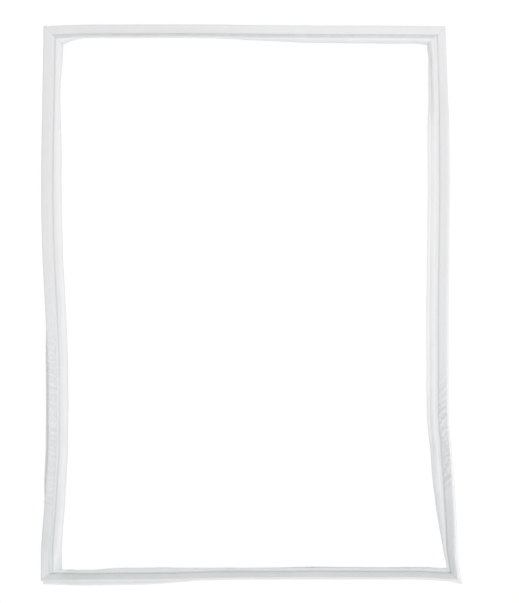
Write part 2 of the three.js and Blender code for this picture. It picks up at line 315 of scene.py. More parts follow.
class GasketFinish(bpy.types.PropertyGroup):
    """Colours and gloss."""

    clean: paint("Clean PVC", "Colour of the clean PVC", (0.87, 0.87, 0.88, 1.0))
    # The colour that the PVC takes towards the bottom and in patches.
    greyed: paint("Greyed PVC", "Colour of the PVC where it has greyed", (0.73, 0.755, 0.765, 1.0))
    # Painted shade: the colour towards which the groove, the folds, the fin's edge and the puckers' hollows
    # are darkened.
    shaded: paint("Painted shade", "Colour in the groove and the folds", (0.52, 0.53, 0.54, 1.0))
    weld: paint("Weld", "Colour of the weld flash", (0.80, 0.81, 0.80, 1.0))
    magnet: paint("Magnet", "Colour of the magnetic strips", (0.055, 0.05, 0.047, 1.0))
    roughness: amount("PVC roughness", "Roughness of the PVC", 0.4, 1.0)


class GasketStage(bpy.types.PropertyGroup):
    """Floor, light and camera."""

    view_height: millimetres("View height", "Height of the camera over the floor", 3000, 9000)
    view_tall: millimetres("View tall", "What the picture takes in from top to bottom", 771.8, 3000)
    view_right: millimetres("View right", "How far right of the middle the camera looks", 9.4)
    view_up: millimetres("View up", "How far up from the middle the camera looks", 4.5)
    sky_strength: amount("Sky", "Strength of the even white light", 0.65)
    key_power: amount("Key", "Power of the large lamp beyond the lower right corner, in watts", 18.0)
    fill_power: amount("Fill", "Power of the small lamp beyond the upper right corner, in watts", 7.0)
    floor_glow: amount("Floor glow", "Share of plain white in what the camera sees of the floor", 0.94, 1.0)


# Curves and the section


def follow(track, share):
    """The value of a track at each share, on a smooth curve through the track's pairs."""
    place = np.array([pair[0] for pair in track], float)
    value = np.array([pair[1] for pair in track], float)
    slope = np.zeros(len(track))
    for j in range(1, len(track) - 1):
        if (value[j] - value[j - 1]) * (value[j + 1] - value[j]) > 0:
            slope[j] = (value[j + 1] - value[j - 1]) / (place[j + 1] - place[j - 1])
    share = np.asarray(share, float)
    i = np.clip(np.searchsorted(place, share, side="right") - 1, 0, len(track) - 2)
    span = place[i + 1] - place[i]
    t = (share - place[i]) / span
    rise = value[i + 1] - value[i]
    lead = t * (1 - t) ** 2 * slope[i] * span
    trail = t * t * (t - 1) * slope[i + 1] * span
    return value[i] + t * t * (3 - 2 * t) * rise + lead + trail


def smooth(x, low, high):
    """0 below low, 1 above high, and an even ease between them."""
    t = np.clip((np.asarray(x, float) - low) / (high - low), 0, 1)
    return t * t * (3 - 2 * t)


def wave(at, lengths, seed):
    """A smooth, uneven wave of about unit height, with the given wavelengths."""
    total = 0
    for i, length in enumerate(lengths):
        total = total + np.sin(2 * math.pi * at / length + seed * (1.7 + 2.3 * i))
    return total / len(lengths)


def arc(centre, radius, start, end, count):
    """Points on an arc, from one angle to the other in degrees."""
    angles = np.radians(np.linspace(start, end, count))
    return [(centre[0] + radius * math.cos(a), centre[1] + radius * math.sin(a)) for a in angles]


def line(start, end, count):
    """Points inside a straight stretch, without its two ends."""
    shares = np.linspace(0, 1, count + 2)[1:-1]
    return [(start[0] + (end[0] - start[0]) * s, start[1] + (end[1] - start[1]) * s) for s in shares]


def rounded(before, corner, after, reach, count):
    """Points around a rounded corner between two straight stretches."""
    corner = np.array(corner, float)
    one = corner + reach * (np.array(before) - corner) / np.linalg.norm(np.array(before) - corner)
    two = corner + reach * (np.array(after) - corner) / np.linalg.norm(np.array(after) - corner)
    points = []
    for t in np.linspace(0, 1, count):
        point = one * (1 - t) ** 2 + corner * 2 * t * (1 - t) + two * t * t
        points.append((float(point[0]), float(point[1])))
    return points


class Section:
    """The extrusion's section. u runs outward from the groove's middle, w up from the base."""

    def __init__(self, size):
        self.size = size
        self.head_inner = size.groove_width / 2
        self.head_outer = self.head_inner + size.head_width
        self.head_bottom = size.base_thickness + size.bellows_height
        self.head_top = self.head_bottom + size.head_height
        self.fin_root = -size.groove_width / 2
        self.web_under = size.groove_floor - size.wall
        self.fold_height = size.base_thickness + size.bellows_height * FOLD_SHARE
        self.vent = [size.vent_place + step * size.vent_radius for step in (-1, 0, 1)]

    def fin(self, sag, curl):
        """The fin's upper side from root to tip, and its under side from tip to root."""
        size = self.size
        step = size.fin_length / FIN_STEPS
        at = np.array((self.fin_root - size.fin_thickness / 2, size.groove_floor - size.wall / 2))
        upper = []
        under = []
        for i in range(FIN_STEPS + 1):
            share = i / FIN_STEPS
            heading = FIN_START + (FIN_CREST - FIN_START) * smooth(share, 0, CREST_SHARE)
            heading += (FIN_END - FIN_CREST) * smooth(share, CREST_SHARE, 1)
            heading += sag * smooth(share, *SAG_SHARES) + curl * smooth(share, *CURL_SHARES)
            heading = math.radians(heading)
            half = (size.fin_thickness * (1 - share) + size.fin_tip * share) / 2
            side = np.array((math.sin(heading), -math.cos(heading))) * half
            if i > 1:
                upper.append(tuple(at + side))
                under.append(tuple(at - side))
            if i < FIN_STEPS:
                at = at + step * np.array((math.cos(heading), math.sin(heading)))
        ahead = np.array((math.cos(heading), math.sin(heading))) * half * TIP_REACH
        shoulder = at + ahead * TIP_SHOULDER
        tip = [tuple(shoulder + side * TIP_WIDTH), tuple(at + ahead), tuple(shoulder - side * TIP_WIDTH)]
        return upper + tip, under[::-1]

    def dart(self):
        """The barbed dart, from its inner foot round its tip to its outer foot."""
        size = self.size
        neck = size.dart_neck / 2
        barb = size.dart_barb / 2
        top = -size.dart_neck_length
        low = top - size.dart_barb_thickness
        tip = size.dart_tip / 2
        depth = -size.dart_depth
        half = [(neck, size.relief_depth - size.groove_fillet / 3)]
        half += [(neck, top * NECK_SHARE), (neck + size.groove_fillet / 3, top)]
        upper_edge, lower_edge = BARB_EDGES
        half += rounded((neck, top), (barb, low + size.dart_barb_edge), (barb, low), upper_edge * MM, 3)
        half += rounded((barb, top), (barb, low), (tip, depth), lower_edge * MM, 3)
        half += line((barb, low), (tip, depth), 1)
        half += arc((0, depth + tip), tip, -20, -90, 3)
        centre = size.dart_place
        left = [(centre - u, w) for u, w in half]
        right = [(centre + u, w) for u, w in half[:-1]]
        return left + right[::-1]

    def seal(self, sag=0.0, curl=0.0):
        """The outside of the section, counter-clockwise, with the region that each point is in."""
        size = self.size
        shoulder = size.head_shoulder
        fillet = size.groove_fillet
        floor = size.groove_floor
        base = (size.base_outer, size.base_thickness)
        fold = (size.base_outer - size.bellows_fold, self.fold_height)
        under_head = (self.head_outer - shoulder, self.head_bottom)
        inner_wall = self.fin_root - size.fin_thickness
        inner_fold = (inner_wall, self.fold_height)
        inner_base = (-size.base_inner, size.base_thickness)
        inner_edge = (-size.base_inner, 0)
        shoulder_low = self.head_bottom + shoulder
        shoulder_high = self.head_top - shoulder
        dart_side = size.dart_neck / 2 + fillet / 3
        under_wall = (inner_wall, self.web_under - size.wall / 4)
        upper, under = self.fin(sag, curl)
        face = []
        for u, w in line((under_head[0], 0), (self.head_inner + shoulder, 0), 9):
            across = (u - (self.head_inner + self.head_outer) / 2) / (size.head_width / 2)
            face.append((u, self.head_top + size.head_crown * (1 - across * across)))
        pieces = [
            ("dart", self.dart()),
            ("base", [(size.dart_place + dart_side, size.relief_depth)]),
            ("base", [(u, size.relief_depth) for u in self.vent]),
            ("base", [(size.dart_place + size.relief_reach, size.relief_depth)]),
            ("base", [(size.dart_place + size.relief_reach, 0)]),
            ("base", rounded((0, 0), (size.base_outer, 0), base, BASE_EDGE * MM, 3)),
            ("bellows", rounded((size.base_outer, 0), base, fold, BASE_EDGE * MM, 3)),
            ("bellows", line(base, fold, 2)),
            ("bellows", rounded(base, fold, under_head, FOLD_EDGE * MM, 4)),
            ("bellows", line(fold, under_head, 3)),
            ("head", arc((under_head[0], shoulder_low), shoulder, -80, 0, 4)),
            ("head", line((self.head_outer, shoulder_low), (self.head_outer, shoulder_high), 2)),
            ("head", arc((under_head[0], shoulder_high), shoulder, 0, 90, 6)),
            ("head", face),
            ("head", arc((self.head_inner + shoulder, shoulder_high), shoulder, 90, 180, 6)),
            ("groove", line((self.head_inner, shoulder_high), (self.head_inner, floor + fillet), 1)),
            ("groove", arc((self.head_inner - fillet, floor + fillet), fillet, 0, -90, 4)),
            ("groove", line((self.head_inner - fillet, floor), (self.fin_root + fillet, floor), 2)),
            ("groove", arc((self.fin_root + fillet, floor + fillet), fillet, -90, -165, 4)),
            ("fin", upper),
            ("under", under),
            ("under", line(under[-1], under_wall, 1)),
            ("under", [under_wall]),
            ("under", line((inner_wall, self.web_under), inner_fold, 1)),
            ("under", rounded((inner_wall, self.web_under), inner_fold, inner_base, INNER_FOLD_EDGE * MM, 3)),
            ("under", line(inner_fold, inner_base, 1)),
            ("base", rounded(inner_fold, inner_base, inner_edge, INNER_BASE_EDGE * MM, 3)),
            ("base", rounded(inner_base, inner_edge, (0, 0), INNER_BASE_EDGE * MM, 3)),
            ("base", [(size.dart_place - size.relief_reach, 0)]),
            ("base", [(size.dart_place - size.relief_reach, size.relief_depth)]),
            ("base", [(size.dart_place - dart_side, size.relief_depth)]),
        ]
        points = []
        regions = []
        for region, stretch in pieces:
            points += stretch
            regions += [region] * len(stretch)
        return np.array(points), regions

    def pocket(self):
        """The magnet's pocket, with the air hole's three points in its floor."""
        size = self.size
        inner = self.head_inner + size.wall
        outer = self.head_outer - size.wall
        low = self.head_bottom + size.wall
        high = self.head_top - size.wall
        vent = [(u, low) for u in self.vent]
        return np.array([(inner, low), *vent, (outer, low), (outer, high), (inner, high)])

    def chamber(self):
        """The air chamber in the bellows, with the air hole's points in its floor and its roof."""
        size = self.size
        inner = self.fin_root - size.fin_thickness + size.bellows_wall
        floor = size.base_thickness
        return np.array([
            (size.bellows_wall - size.base_inner, floor),
            *((u, floor) for u in self.vent),
            (size.base_outer - size.bellows_wall - size.wall / 2, floor),
            (size.base_outer - size.bellows_fold - size.bellows_wall, self.fold_height),
            (self.head_outer - size.head_shoulder - size.bellows_wall - size.wall, self.head_bottom),
            *((u, self.head_bottom) for u in self.vent[::-1]),
            (self.head_inner + size.wall / 2, self.head_bottom),
            (self.head_inner - size.wall / 2, self.web_under),
            (inner, self.web_under),
            (inner, self.fold_height),
        ])

    def magnet(self):
        """A magnetic strip, with its edges broken."""
        size = self.size
        gap = size.wall + size.magnet_clearance
        inner = self.head_inner + gap
        outer = self.head_outer - gap
        low = self.head_bottom + gap
        high = self.head_top - gap
        corners = ((inner, low), (outer, low), (outer, high), (inner, high))
        points = []
        for i, corner in enumerate(corners):
            points += rounded(corners[i - 1], corner, corners[(i + 1) % 4], MAGNET_EDGE * MM, 3)
        return np.array(points)


# The sweep round the frame


class Sweep:
    """Carries the section round the frame, side by side, through welded mitres."""

    def __init__(self, sizes, section):
        self.sizes = sizes
        self.section = section
        half = sizes.bottom_width / 2
        tall = sizes.height / 2
        left = sizes.top_left_inset - half
        corners = {
            "bottom_left": np.array((-half, -tall)),
            "bottom_right": np.array((half, -tall)),
            "top_right": np.array((left + sizes.top_width, tall - sizes.top_right_drop)),
            "top_left": np.array((left, tall)),
        }
        self.runs = []
        for i, name in enumerate(SIDE_ORDER):
            start = corners[CORNER_ORDER[i]]
            end = corners[CORNER_ORDER[(i + 1) % 4]]
            length = float(np.linalg.norm(end - start))
            along = (end - start) / length
            outward = np.array((along[1], -along[0]))
            run = {"name": name, "start": start, "along": along, "outward": outward, "length": length}
            self.runs.append(run)
        seal, self.regions = section.seal()
        fixed = {"pocket": section.pocket(), "chamber": section.chamber(), "magnet": section.magnet()}
        self.slices = {"seal": slice(0, len(seal))}
        at = len(seal)
        for name, points in fixed.items():
            self.slices[name] = slice(at, at + len(points))
            at += len(points)
        self.fixed = np.concatenate(list(fixed.values()))

    def stations(self, run):
        """The distances from a side's start at which it has a ring."""
        length = run["length"]
        stop = self.section.size.magnet_stop
        reach = self.sizes.corner_reach
        marks = {0.0, length, stop, length - stop, reach, length - reach}
        for step in WELD_STEPS:
            marks |= {step * MM, length - step * MM}
        if run["name"] == "left":
            for share in VENT_SHARES:
                marks |= {share * length + i * self.section.size.vent_radius for i in (-1, 0, 1)}
        for pucker in PUCKERS:
            if pucker["side"] == run["name"]:
                marks |= {share * length for share in pucker["span"]}
        marks = sorted(marks)
        places = []
        for one, two in zip(marks, marks[1:]):
            count = max(1, math.ceil((two - one) / (self.step_at(run, (one + two) / 2) * MM) - LEEWAY))
            places += [one + (two - one) * i / count for i in range(count)]
        return np.array(places)

    def step_at(self, run, at):
        """How far apart the rings are at a distance along a side, in millimetres."""
        if min(at, run["length"] - at) < self.sizes.corner_reach:
            return STEP_CORNER
        for pucker in PUCKERS:
            low, high = (share * run["length"] for share in pucker["span"])
            if pucker["side"] == run["name"] and low < at < high:
                return STEP_PUCKER
        return STEP_PLAIN

    def pose(self, points, roll, tuck):
        """Where points of the section go when the bellows tucks and the section rolls."""
        bottom = self.section.head_bottom
        below = np.maximum(bottom - points[:, 1], 0)
        across = points[:, 0] - tuck * self.sizes.tuck_slide * np.minimum(below / bottom, 1)
        up = points[:, 1] + abs(tuck) * self.sizes.tuck_close * np.minimum(below, bottom)
        c = math.cos(math.radians(roll))
        s = math.sin(math.radians(roll))
        return np.stack((across * c - up * s, across * s + up * c), axis=1)

    def section_at(self, run, share):
        """One side's whole section at a share of its length: offsets outward, and heights."""
        track = SIDES[run["name"]]
        roll = float(follow(track["roll"], share))
        tuck = float(follow(track["tuck"], share))
        sag = float(follow(track["sag"], share))
        curl = float(follow(track["curl"], share))
        at = share * run["length"] / MM
        ease = float(smooth(at, *WAVE_EASE) * smooth(run["length"] / MM - at, *WAVE_EASE))
        seed = SIDE_ORDER.index(run["name"])
        sag += ease * SAG_REACH * float(wave(at, SAG_WAVES, seed + 1))
        roll += ease * ROLL_REACH * float(wave(at, ROLL_WAVES, seed + 3))
        seal, _ = self.section.seal(sag, curl)
        posed = self.pose(np.concatenate((seal, self.fixed)), roll, tuck)
        edge = self.pose(np.array([(self.section.head_outer, self.section.head_top)]), roll, tuck)
        return posed[:, 0] - edge[0, 0], posed[:, 1]

    def corner(self, before, after):
        """The ring that two sides share at a corner: its places on the floor, and its heights."""
        one, high_one = self.section_at(before, 1.0)
        two, high_two = self.section_at(after, 0.0)
        a = before["outward"]
        b = after["outward"]
        cross = a[0] * b[1] - a[1] * b[0]
        places = np.stack(((one * b[1] - two * a[1]) / cross, (two * a[0] - one * b[0]) / cross), axis=1)
        return places, (high_one + high_two) / 2

    def side(self, index):
        """All the rings of one side, up to and without the one at its far corner."""
        run = self.runs[index]
        before = self.runs[index - 1]
        after = self.runs[(index + 1) % 4]
        near = self.corner(before, run), self.section_at(run, 0.0)
        far = self.corner(run, after), self.section_at(run, 1.0)
        rings = []
        places = self.stations(run)
        for at in places:
            share = at / run["length"]
            offsets, heights = self.section_at(run, share)
            at_start = at < run["length"] / 2
            (spots, shared), (_, own) = near if at_start else far
            from_corner = at if at_start else run["length"] - at
            blend = max(1 - from_corner / self.sizes.corner_reach, 0)
            heights = heights + blend * (shared - own)
            heights = heights - heights[self.slices["seal"]].min()
            shift = spots @ run["along"] * blend
            bow = float(follow(SIDES[run["name"]]["bow"], share)) * MM
            edge = run["start"] + run["along"] * at + run["outward"] * bow
            flat = edge + np.outer(offsets, run["outward"]) + np.outer(shift, run["along"])
            rings.append(np.column_stack((flat, heights)))
        return np.array(rings), places

    def build(self):
        """The rings of the whole loop, with each ring's side and its distance along it."""
        rings = []
        self.ring_side = []
        self.ring_at = []
        self.ring_length = []
        for index in range(4):
            side_rings, places = self.side(index)
            rings.append(side_rings)
            self.ring_side += [self.runs[index]["name"]] * len(places)
            self.ring_at += list(places / MM)
            self.ring_length += [self.runs[index]["length"] / MM] * len(places)
        self.rings = np.concatenate(rings)
        self.ring_at = np.array(self.ring_at)
        self.ring_length = np.array(self.ring_length)
        seal = self.rings[:, self.slices["seal"]]
        low = seal.reshape(-1, 3).min(axis=0)
        high = seal.reshape(-1, 3).max(axis=0)
        self.rings -= np.array(((low[0] + high[0]) / 2, (low[1] + high[1]) / 2, 0))
        return self.rings


def grid_normals(rings):
    """A normal at each point of a closed grid of rings, pointing out of the material."""
    along = np.roll(rings, -1, axis=0) - np.roll(rings, 1, axis=0)
    around = np.roll(rings, -1, axis=1) - np.roll(rings, 1, axis=1)
    normals = np.cross(around, along)
    return normals / np.maximum(np.linalg.norm(normals, axis=2, keepdims=True), LEAST)


def pucker_heights(sweep):
    """How far each point of the seal's outside is pushed out by the puckers, in millimetres."""
    points, regions = sweep.section.seal()
    outer = points[:, 0] / MM
    up = points[:, 1] / MM
    head = np.array([region == "head" for region in regions])
    rise = smooth(up, sweep.section.head_bottom / MM, sweep.section.head_top / MM)
    weight = np.where(head, PUCKER_LOW + (1 - PUCKER_LOW) * rise, 0.0)
    total = np.zeros((len(sweep.ring_at), len(points)))
    for number, pucker in enumerate(PUCKERS):
        mine = np.array([side == pucker["side"] for side in sweep.ring_side])
        share = sweep.ring_at / sweep.ring_length
        rise = smooth(share, pucker["span"][0], pucker["peak"][0])
        fall = 1 - smooth(share, pucker["peak"][1], pucker["span"][1])
        swing = PUCKER_MEAN + PUCKER_SWING * wave(sweep.ring_at, SWING_WAVES, number + 2)
        strength = mine * rise * fall * swing
        drift = PUCKER_DRIFT * wave(sweep.ring_at, DRIFT_WAVES, number + 5)
        phase = (sweep.ring_at[:, None] + pucker["slant"] * outer[None, :]) / pucker["pitch"] + drift[:, None]
        turn = 2 * math.pi * phase
        crease = PUCKER_RISE + np.sin(turn) + PUCKER_FINE * np.sin(2 * turn + 1.0)
        total += pucker["height"] * strength[:, None] * crease * weight[None, :]
    return total


def weld_share(sweep):
    """1 on a mitre's weld line, falling to 0 within two millimetres."""
    nearest = np.minimum(sweep.ring_at, sweep.ring_length - sweep.ring_at)
    return np.exp(-((nearest / WELD_WIDTH) ** 2))


def unevenness(sweep):
    """Slight low waves of the soft skin, in millimetres, more on the fin than on the head."""
    weight = np.array([SKIN_HEIGHTS[region] for region in sweep.regions])
    seed = np.array([SIDE_ORDER.index(side) for side in sweep.ring_side])
    waves = sum(np.sin(sweep.ring_at / length + (i + 1) * seed) for i, length in enumerate(SKIN_WAVES))
    return (waves / len(SKIN_WAVES))[:, None] * weight[None, :]


def grid_faces(offset, count, size):
    """Quads of a closed grid of rings that starts at a vertex number."""
    i = np.arange(count)[:, None]
    k = np.arange(size)[None, :]
    a = offset + i * size + k
    b = offset + i * size + (k + 1) % size
    c = offset + ((i + 1) % count) * size + (k + 1) % size
    d = offset + ((i + 1) % count) * size + k
    return np.stack((a, d, c, b), axis=2)


def pierce(sweep, grids, tables, first, second, first_at, second_at):
    """Joins two skins by a round hole at each air hole, and drops the faces over it."""
    size = sweep.section.size
    ring = ((0, 0), (1, 0), (2, 0), (2, 1), (2, 2), (1, 2), (0, 2), (0, 1))
    tube = []
    dropped = []
    near = [n for n, side in enumerate(sweep.ring_side) if side == "left"]
    for share in VENT_SHARES:
        centre = share * sweep.ring_length[near[0]]
        middle = min(near, key=lambda n: abs(sweep.ring_at[n] - centre))
        loops = []
        for name, start, step in ((first, *first_at), (second, *second_at)):
            table = tables[name]
            columns = [start, start + step, start + 2 * step]
            rows = [middle - 1, middle, middle + 1]
            hub = grids[name][middle, columns[1]].copy()
            loop = []
            for row, column in ring:
                point = grids[name][rows[row], columns[column]]
                away = point - hub
                away[2] = 0
                away *= size.vent_radius / max(np.linalg.norm(away), LEAST)
                grids[name][rows[row], columns[column]] = (hub[0] + away[0], hub[1] + away[1], point[2])
                loop.append(int(table[rows[row], columns[column]]))
            loops.append(loop)
            low = min(columns)
            dropped += [(name, rows[0] + r, low + c) for r in (0, 1) for c in (0, 1)]
        for j in range(8):
            k = (j + 1) % 8
            tube.append((loops[0][j], loops[0][k], loops[1][k], loops[1][j]))
    return tube, dropped


def mesh_object(name, vertices, faces):
    """A smooth-shaded mesh object whose faces point outward."""
    mesh = bpy.data.meshes.new(name)
    mesh.from_pydata(vertices, [], faces)
    mesh.validate()
    shape = bmesh.new()
    shape.from_mesh(mesh)
    bmesh.ops.recalc_face_normals(shape, faces=shape.faces)
    if shape.calc_volume(signed=True) < 0:
        bmesh.ops.reverse_faces(shape, faces=shape.faces)
    shape.to_mesh(mesh)
    shape.free()
    mesh.shade_smooth()
    mesh.set_sharp_from_angle(angle=math.radians(SHARP_ANGLE))
    made = bpy.data.objects.new(name, mesh)
    bpy.context.scene.collection.objects.link(made)
    return made


def seal_marks(sweep, puckers, weld):
    """How much painted shade, greying and weld colour each point of the seal's outside has, with less greying
    where light is painted.
    """
    regions = sweep.regions
    # Painted shade, set for each region of the section and then softened across neighbouring points.
    painted_shade = np.array([PAINTED_SHADE[region] for region in regions])
    tip = regions.index("under")
    # Painted shade along the fin's edge, as a thin dark line.
    painted_shade[tip - FIN_EDGE_POINTS : tip] = np.linspace(0, FIN_EDGE_SHADE, FIN_EDGE_POINTS)
    painted_shade = (painted_shade + np.roll(painted_shade, 1) + np.roll(painted_shade, -1)) / 3
    # Painted shade in the groove, stronger on some sides than on others.
    groove = np.array([GROOVE_SHADE[side] for side in sweep.ring_side])
    groove_shade_scale = np.where(np.array(regions) == "groove", groove[:, None], 1.0)
    # Painted shade in the puckers' hollows.
    creased = np.maximum(-puckers, 0) * PUCKER_SHADE
    # Painted light: the bellows, the head's outer side and partly the fin are kept out of the greying, so
    # they read lighter.
    unlit = np.array([UNLIT_SHARE.get(region, 1.0) for region in regions])
    side = regions.index("head")
    unlit[side : side + SIDE_POINTS] = 0.0
    return {
        "painted_shade": (painted_shade * groove_shade_scale + creased).ravel(),
        "unlit": np.tile(unlit, len(weld)),
        "weld": np.repeat(weld, len(regions)),
    }


def add_mark(mesh, name, values):
    """A value at each vertex for the material to read."""
    mark = mesh.attributes.new(name, "FLOAT", "POINT")
    mark.data.foreach_set("value", np.asarray(values, np.float32))


# Materials


def node_adder(tree):
    """A function that adds a node to a tree. Its sockets take plain values or other nodes' outputs."""

    def node(kind, sockets=None, **settings):
        made = tree.nodes.new(kind)
        for key, value in settings.items():
            setattr(made, key, value)
        for key, value in (sockets or {}).items():
            if isinstance(value, bpy.types.NodeSocket):
                tree.links.new(value, made.inputs[key])
            else:
                made.inputs[key].default_value = value
        return made

    return node


def new_material(name):
    """A material with its nodes cleared, and the function that adds a node to it."""
    material = bpy.data.materials.new(name)
    material.use_nodes = True
    material.node_tree.nodes.clear()
    return material, node_adder(material.node_tree)


def mottle_group():
    """Node group: broad cloudy patches, streaks and a fine grain, from the object's own coordinates."""
    tree = bpy.data.node_groups.new("Moulded grain", "ShaderNodeTree")
    for name, default in (("Patch Scale", 9.0), ("Grain Scale", 900.0)):
        socket = tree.interface.new_socket(name, in_out="INPUT", socket_type="NodeSocketFloat")
        socket.default_value = default
    for name in ("Patches", "Streaks", "Grain"):
        tree.interface.new_socket(name, in_out="OUTPUT", socket_type="NodeSocketFloat")
    node = node_adder(tree)
    scale = node("NodeGroupInput").outputs
    place = node("ShaderNodeTexCoord").outputs["Object"]
    patches = {"Vector": place, "Scale": scale["Patch Scale"], "Detail": 3.0}
    streaks = {"Vector": place, "Scale": 60.0, "Detail": 4.0, "Roughness": 0.6}
    grain = {"Vector": place, "Scale": scale["Grain Scale"], "Detail": 2.0}
    node("NodeGroupOutput", {
        "Patches": node("ShaderNodeTexNoise", patches).outputs["Fac"],
        "Streaks": node("ShaderNodeTexNoise", streaks).outputs["Fac"],
        "Grain": node("ShaderNodeTexNoise", grain).outputs["Fac"],
    })
    return tree


def ramp_value(node, source, low, high, to_low=0.0, to_high=1.0):
    """A value mapped from one range to another, with a smooth ease."""
    span = {"Value": source, "From Min": low, "From Max": high, "To Min": to_low, "To Max": to_high}
    return node("ShaderNodeMapRange", span, interpolation_type="SMOOTHSTEP").outputs["Result"]


def blend_colour(node, factor, one, two):
    """A colour between two others, each a socket or a plain colour."""
    return node("ShaderNodeMix", {"Factor": factor, "A": one, "B": two}, data_type="RGBA").outputs["Result"]


def multiply(node, one, two):
    """The product of two values, each a socket or a number."""
    return node("ShaderNodeMath", {0: one, 1: two}, operation="MULTIPLY").outputs["Value"]


def mark_value(node, name):
    """The value that a mesh has under a name."""
    return node("ShaderNodeAttribute", attribute_name=name).outputs["Fac"]


def grain_normal(node, height, strength):
    """A normal roughened by a fine grain."""
    grain = {"Height": height, "Strength": strength, "Distance": GRAIN_DEPTH}
    return node("ShaderNodeBump", grain).outputs["Normal"]


def seen_plainly(node):
    """1 for rays from the camera and for those of reflections and clear things, else 0."""
    path = node("ShaderNodeLightPath").outputs
    most = {0: path["Is Camera Ray"], 1: path["Is Glossy Ray"]}
    most = node("ShaderNodeMath", most, operation="MAXIMUM").outputs["Value"]
    both = {0: most, 1: path["Is Transmission Ray"]}
    return node("ShaderNodeMath", both, operation="MAXIMUM").outputs["Value"]


def pvc_material(finish, grain):
    """Soft white PVC: greyer low down and in patches, with painted light kept on its side walls and thin fin,
    and painted shade in the groove, the folds and the puckers' hollows.
    """
    material, node = new_material("soft_pvc")
    texture = node("ShaderNodeGroup", node_tree=grain).outputs
    place = node("ShaderNodeTexCoord").outputs["Object"]
    up = node("ShaderNodeSeparateXYZ", {"Vector": place}).outputs["Y"]
    low = ramp_value(node, up, *GREYING)
    patches = ramp_value(node, texture["Patches"], 0.3, 0.7, 0.75, 1.25)
    # Greyer low down and in patches, less where the mark paints light on the side walls and the fin.
    greyed = multiply(node, multiply(node, low, patches), mark_value(node, "unlit"))
    colour = blend_colour(node, greyed, tuple(finish.clean), tuple(finish.greyed))
    streaks = ramp_value(node, texture["Streaks"], 0.3, 0.75, 0.7, 1.0)
    # Painted shade in the groove, the folds and the puckers' hollows, broken up by the streaks.
    shaded = multiply(node, mark_value(node, "painted_shade"), streaks)
    colour = blend_colour(node, shaded, colour, tuple(finish.shaded))
    welded = multiply(node, mark_value(node, "weld"), WELD_TINT)
    colour = blend_colour(node, welded, colour, tuple(finish.weld))
    smoother, rougher = GLOSS_SPREAD
    gloss = (finish.roughness - smoother, finish.roughness + rougher)
    shader = node("ShaderNodeBsdfPrincipled", {
        "Base Color": colour,
        "Roughness": ramp_value(node, texture["Streaks"], 0.25, 0.8, *gloss),
        "Normal": grain_normal(node, texture["Grain"], 0.12),
        "IOR": 1.5,
        "Specular IOR Level": 0.45,
        "Subsurface Weight": 0.2,
        "Subsurface Radius": (1.0, 1.0, 1.0),
        "Subsurface Scale": 0.004,
    })
    node("ShaderNodeOutputMaterial", {"Surface": shader.outputs["BSDF"]})
    return material


def magnet_material(finish, grain):
    """Ferrite-filled rubber: nearly black, matt and slightly grainy."""
    material, node = new_material("magnet_rubber")
    texture = node("ShaderNodeGroup", {"Grain Scale": 1500.0}, node_tree=grain).outputs
    dusty = ramp_value(node, texture["Streaks"], 0.4, 0.8, 0.0, 0.5)
    paler = (*(value * DUST_LIFT for value in finish.magnet[:3]), 1.0)
    shader = node("ShaderNodeBsdfPrincipled", {
        "Base Color": blend_colour(node, dusty, tuple(finish.magnet), paler),
        "Roughness": ramp_value(node, texture["Patches"], 0.3, 0.7, 0.68, 0.85),
        "Normal": grain_normal(node, texture["Grain"], 0.3),
    })
    node("ShaderNodeOutputMaterial", {"Surface": shader.outputs["BSDF"]})
    return material


def floor_material(glow):
    """A white floor that the camera sees as nearly plain white, with the object's soft shadow."""
    material, node = new_material("pale_floor")
    matt = node("ShaderNodeBsdfDiffuse", {"Color": FLOOR_MATT}).outputs["BSDF"]
    white = node("ShaderNodeEmission", {"Color": WHITE, "Strength": FLOOR_WHITE}).outputs["Emission"]
    share = multiply(node, seen_plainly(node), glow)
    mix = node("ShaderNodeMixShader", {"Fac": share, 1: matt, 2: white}).outputs["Shader"]
    node("ShaderNodeOutputMaterial", {"Surface": mix})
    return material


def shared_group():
    """The grain group, made once."""
    return bpy.data.node_groups.get("Moulded grain") or mottle_group()


def swept(scene):
    """The section carried round the frame from the scene's sizes."""
    sweep = Sweep(scene.gasket_frame, Section(scene.gasket_section))
    sweep.build()
    return sweep


